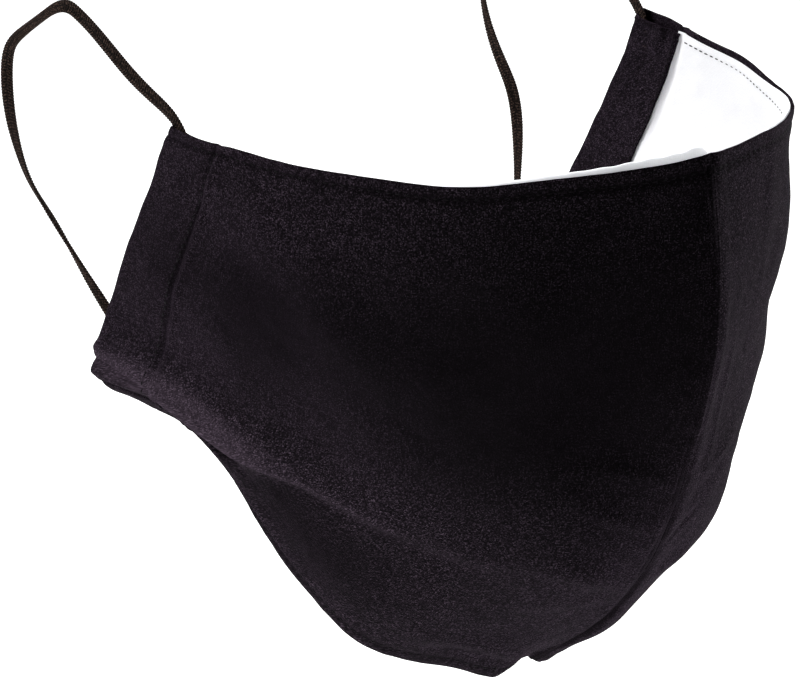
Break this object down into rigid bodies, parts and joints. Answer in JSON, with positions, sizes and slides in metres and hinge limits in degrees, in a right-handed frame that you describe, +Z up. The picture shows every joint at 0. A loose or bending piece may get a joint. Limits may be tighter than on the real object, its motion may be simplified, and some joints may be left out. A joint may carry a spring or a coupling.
{
  "type": "cloth face mask",
  "caption": "Black cloth face mask with a curved front seam, white lining, folded side casings and elastic ear loops, shaped as when worn.",
  "frame": {"origin": "top of the centre seam, where the mask sits on the nose", "axes": "+Z up, the face looks along -Y, +X towards the wearer's left"},
  "size_m": [0.141, 0.1766, 0.1558],
  "materials": {
    "black_cotton": "plain woven cotton, matt",
    "white_lining": "soft white cotton, matt",
    "black_elastic": "flat braided elastic"
  },
  "bodies": {
    "root": {"outer_panel_right": "black_cotton", "outer_panel_left": "black_cotton", "lining_right": "white_lining", "lining_left": "white_lining", "ear_loop_right": "black_elastic", "ear_loop_left": "black_elastic"}
  },
  "joints": []
}
